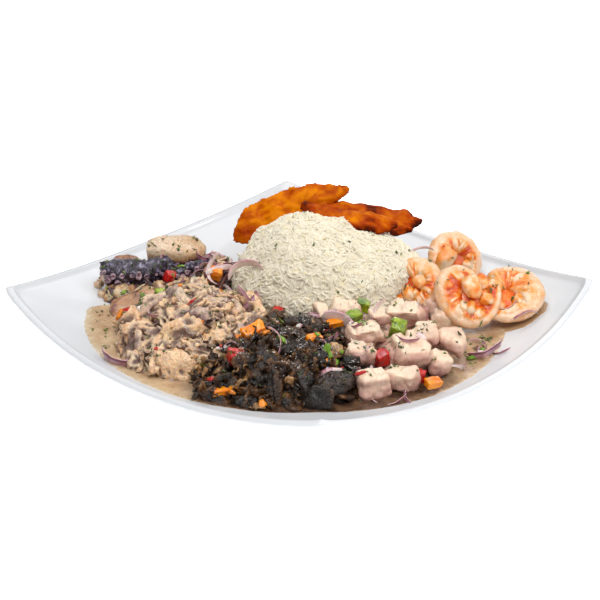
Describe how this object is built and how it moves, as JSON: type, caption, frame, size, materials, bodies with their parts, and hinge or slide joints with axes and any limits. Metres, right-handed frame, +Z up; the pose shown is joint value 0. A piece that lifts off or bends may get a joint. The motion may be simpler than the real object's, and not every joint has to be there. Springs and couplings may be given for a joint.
{
  "type": "ceviche platter",
  "caption": "Square porcelain plate of mixed ceviche: a dome of rice, fried plantain, curled shrimps, octopus, shredded crab, black clams and fish cubes in marinade.",
  "frame": {"origin": "on the table under the centre of the plate", "axes": "+Z up, +X towards the plate's right corner, -Y towards the plate's front corner, nearest to the guest"},
  "size_m": [0.3906, 0.3906, 0.0798],
  "materials": {
    "porcelain": "glossy white glaze",
    "marinade": "wet, cloudy liquid",
    "rice": "soft, faintly moist boiled rice",
    "crab": "moist shredded flesh",
    "clam": "wet and glossy, nearly black",
    "octopus_skin": "wet purple-black skin with pale suckers",
    "octopus_flesh": "moist pale pink flesh",
    "fish": "moist cured white fish",
    "plantain": "fried, lightly oiled golden crust",
    "shrimp": "wet boiled shrimp, orange bands on white",
    "pepper_red": "glossy wet pepper skin",
    "pepper_orange": "glossy wet pepper skin",
    "pepper_green": "glossy wet pepper skin",
    "onion": "thin moist slices with purple skin",
    "herbs": "finely chopped leaves"
  },
  "bodies": {
    "root": {"plate": "porcelain", "marinade": "marinade", "marinade_left": "marinade", "rice_mound": "rice", "crab_heap": "crab", "clam_heap": "clam", "octopus_bed": "octopus_flesh", "fish_bed": "fish", "plantain_left": "plantain", "plantain_front": "plantain", "plantain_back": "plantain", "shrimp_front": "shrimp", "shrimp_back": "shrimp", "shrimp_left": "shrimp", "shrimp_right": "shrimp", "shrimp_under": "shrimp", "octopus_arm": "octopus_skin", "octopus_curl": "octopus_skin", "octopus_head": "octopus_flesh", "octopus_slice_front": "octopus_flesh", "octopus_slice_back": "octopus_flesh", "fish_cube_1": "fish", "fish_cube_2": "fish", "fish_cube_3": "fish", "fish_cube_4": "fish", "fish_cube_5": "fish", "fish_cube_6": "fish", "fish_cube_7": "fish", "fish_cube_8": "fish", "fish_cube_9": "fish", "fish_cube_10": "fish", "fish_cube_11": "fish", "fish_cube_12": "fish", "fish_cube_13": "fish", "clam_front": "clam", "clam_right": "clam", "clam_middle": "clam", "clam_back": "clam", "pepper_red_1": "pepper_red", "pepper_red_2": "pepper_red", "pepper_red_3": "pepper_red", "pepper_red_4": "pepper_red", "pepper_red_5": "pepper_red", "pepper_red_6": "pepper_red", "pepper_orange_1": "pepper_orange", "pepper_orange_2": "pepper_orange", "pepper_orange_3": "pepper_orange", "pepper_orange_4": "pepper_orange", "pepper_orange_5": "pepper_orange", "pepper_orange_6": "pepper_orange", "pepper_green_1": "pepper_green", "pepper_green_2": "pepper_green", "pepper_green_3": "pepper_green", "pepper_green_4": "pepper_green", "onion_rice": "onion", "onion_fish": "onion", "onion_crab": "onion", "onion_shrimp": "onion"}
  },
  "joints": []
}
